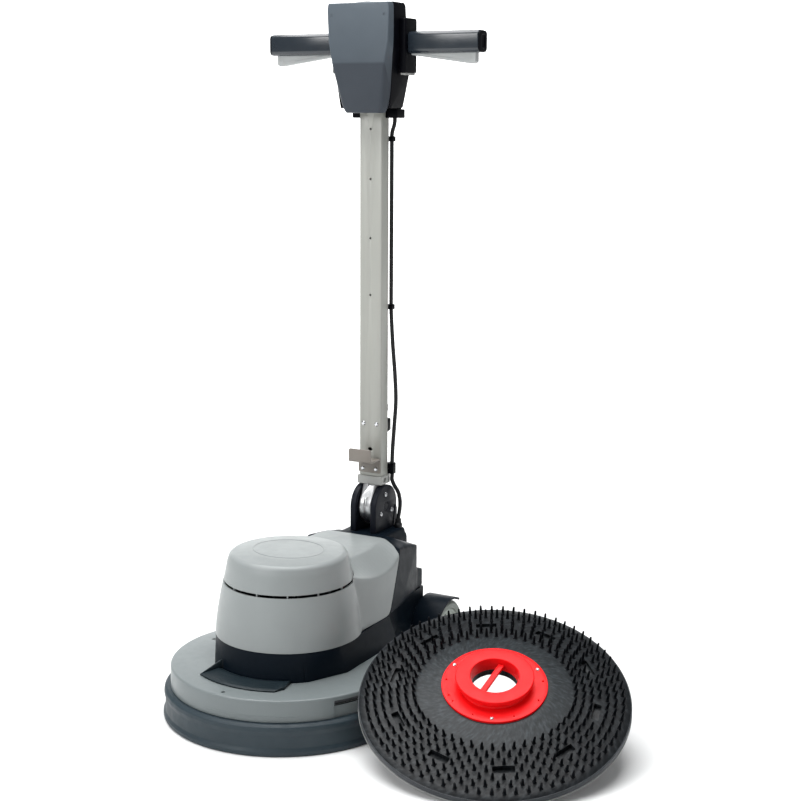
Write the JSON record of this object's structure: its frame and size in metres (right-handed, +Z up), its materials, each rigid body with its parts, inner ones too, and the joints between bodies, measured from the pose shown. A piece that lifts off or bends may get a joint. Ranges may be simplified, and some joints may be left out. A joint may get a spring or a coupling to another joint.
{
  "type": "rotary floor machine",
  "caption": "Walk-behind single-disc floor machine with a round rubber-skirted deck, motor cowl, tilting tube handle with squeeze levers, rear wheels and a loose nubbed drive board.",
  "frame": {"origin": "bottom centre of the whole object, drive board included, on the floor", "axes": "+Z up, +Y towards the operator behind the machine, +X to the side where the drive board leans"},
  "size_m": [0.8942, 0.672, 1.311],
  "materials": {
    "skirt_rubber": "matt moulded rubber",
    "light_plastic": "satin light grey moulding",
    "dark_plastic": "fine-textured dark grey moulding",
    "black_plastic": "fine-textured black moulding",
    "head_plastic": "satin slate grey moulding",
    "lead_sheath": "black cable sheath",
    "tube_paint": "satin silver paint",
    "hook_steel": "bare bent sheet",
    "polished_alloy": "machined and lightly polished",
    "steel": "turned steel",
    "cast_iron": "painted casting",
    "wheel_plastic": "moulded nylon",
    "wheel_tyre": "grey non-marking tyre",
    "board_plastic": "moulded dark grey plastic with flow marks",
    "red_plastic": "satin red moulding"
  },
  "bodies": {
    "machine": {"skirt": "skirt_rubber", "deck_cover": "light_plastic", "deck_plate": "cast_iron", "base_frame": "dark_plastic", "front_scoop": "dark_plastic", "motor_cowl": "light_plastic", "motor_cap": "light_plastic", "rear_housing": "dark_plastic", "lead_gland": "black_plastic", "hinge_ear_left": "black_plastic", "hinge_ear_right": "black_plastic", "hinge_pin": "steel", "wheel_axle": "steel", "wheel_guard_left": "dark_plastic", "wheel_guard_right": "dark_plastic", "motor_stator": "steel", "run_capacitor": "black_plastic", "gearbox_case": "cast_iron", "motor_lead_flex": "lead_sheath"},
    "handle": {"hinge_drum": "polished_alloy", "handle_tube": "tube_paint", "cable_hook": "hook_steel", "lead_clip_lower": "black_plastic", "lead_clip_middle": "black_plastic", "lead_clip_upper": "black_plastic", "motor_lead": "lead_sheath", "release_guide": "black_plastic", "head_front_cover": "head_plastic", "head_rear_shell": "black_plastic", "head_bracket": "black_plastic", "switch_module": "black_plastic", "handlebar": "steel", "clamp_block_left": "black_plastic", "clamp_block_right": "black_plastic", "grip_left": "black_plastic", "grip_right": "black_plastic", "grip_cap_left": "black_plastic", "grip_cap_right": "black_plastic"},
    "lever_left": {"lever_left": "light_plastic"},
    "lever_right": {"lever_right": "light_plastic"},
    "button": {"lock_button": "light_plastic"},
    "release": {"release_rod": "steel"},
    "wheel_left": {"wheel_rim_left": "wheel_plastic", "wheel_tyre_left": "wheel_tyre"},
    "wheel_right": {"wheel_rim_right": "wheel_plastic", "wheel_tyre_right": "wheel_tyre"},
    "rotor": {"motor_rotor": "steel", "cooling_fan": "black_plastic", "sun_gear": "steel"},
    "hub": {"planet_carrier": "steel", "drive_hub": "cast_iron"},
    "planet_1": {"planet_gear_1": "steel"},
    "planet_2": {"planet_gear_2": "steel"},
    "planet_3": {"planet_gear_3": "steel"},
    "board": {"drive_board": "board_plastic", "nub_field": "board_plastic", "board_flange": "red_plastic", "board_ring": "red_plastic", "board_bail": "red_plastic"}
  },
  "joints": [
    {"name": "handle_tilt", "type": "hinge", "parent": "machine", "child": "handle", "pos_m": [-0.21575, 0.222, 0.321], "axis": [-1, 0, 0], "range_deg": [0, 75], "deforming": ["motor_lead_flex"]},
    {"name": "lever_left_squeeze", "type": "hinge", "parent": "handle", "child": "lever_left", "pos_m": [-0.30375, 0.223, 1.222], "axis": [0, 1, 0], "range_deg": [0, 7], "stiffness_Nm_per_rad": 2, "springref_deg": -5.73},
    {"name": "lever_right_squeeze", "type": "hinge", "parent": "handle", "child": "lever_right", "pos_m": [-0.12775, 0.223, 1.222], "axis": [0, -1, 0], "range_deg": [0, 7], "stiffness_Nm_per_rad": 2, "springref_deg": -5.73},
    {"name": "lock_button_press", "type": "slide", "parent": "handle", "child": "button", "axis": [0, 0, -1], "range_m": [0, 0.005], "stiffness_N_per_m": 400, "springref_m": -0.004},
    {"name": "release_rod_pull", "type": "slide", "parent": "handle", "child": "release", "axis": [0, 0, 1], "range_m": [0, 0.008], "stiffness_N_per_m": 300, "springref_m": -0.006},
    {"name": "wheel_left_spin", "type": "hinge", "parent": "machine", "child": "wheel_left", "pos_m": [-0.34325, 0.274, 0.062], "axis": [1, 0, 0], "continuous": true},
    {"name": "wheel_right_spin", "type": "hinge", "parent": "machine", "child": "wheel_right", "pos_m": [-0.08825, 0.274, 0.062], "axis": [1, 0, 0], "continuous": true},
    {"name": "rotor_spin", "type": "hinge", "parent": "machine", "child": "rotor", "pos_m": [-0.21575, -0.106, 0.19], "axis": [0, 0, 1], "continuous": true},
    {"name": "hub_spin", "type": "hinge", "parent": "machine", "child": "hub", "pos_m": [-0.21575, -0.106, 0.08], "axis": [0, 0, 1], "continuous": true},
    {"name": "planet_1_spin", "type": "hinge", "parent": "hub", "child": "planet_1", "pos_m": [-0.21575, -0.07787, 0.119], "axis": [0, 0, 1], "continuous": true},
    {"name": "planet_2_spin", "type": "hinge", "parent": "hub", "child": "planet_2", "pos_m": [-0.24011, -0.12006, 0.119], "axis": [0, 0, 1], "continuous": true},
    {"name": "planet_3_spin", "type": "hinge", "parent": "hub", "child": "planet_3", "pos_m": [-0.19139, -0.12006, 0.119], "axis": [0, 0, 1], "continuous": true},
    {"name": "board_lift", "type": "hinge", "parent": "machine", "child": "board", "pos_m": [0.30077, -0.3026, 0.0004], "axis": [0.9126, 0.4088, 0], "range_deg": [0, 60]}
  ],
  "couplings": [
    {"joint": "hub_spin", "follows": "rotor_spin", "ratio": 0.13333},
    {"joint": "planet_1_spin", "follows": "rotor_spin", "ratio": -0.31515},
    {"joint": "planet_2_spin", "follows": "rotor_spin", "ratio": -0.31515},
    {"joint": "planet_3_spin", "follows": "rotor_spin", "ratio": -0.31515}
  ]
}
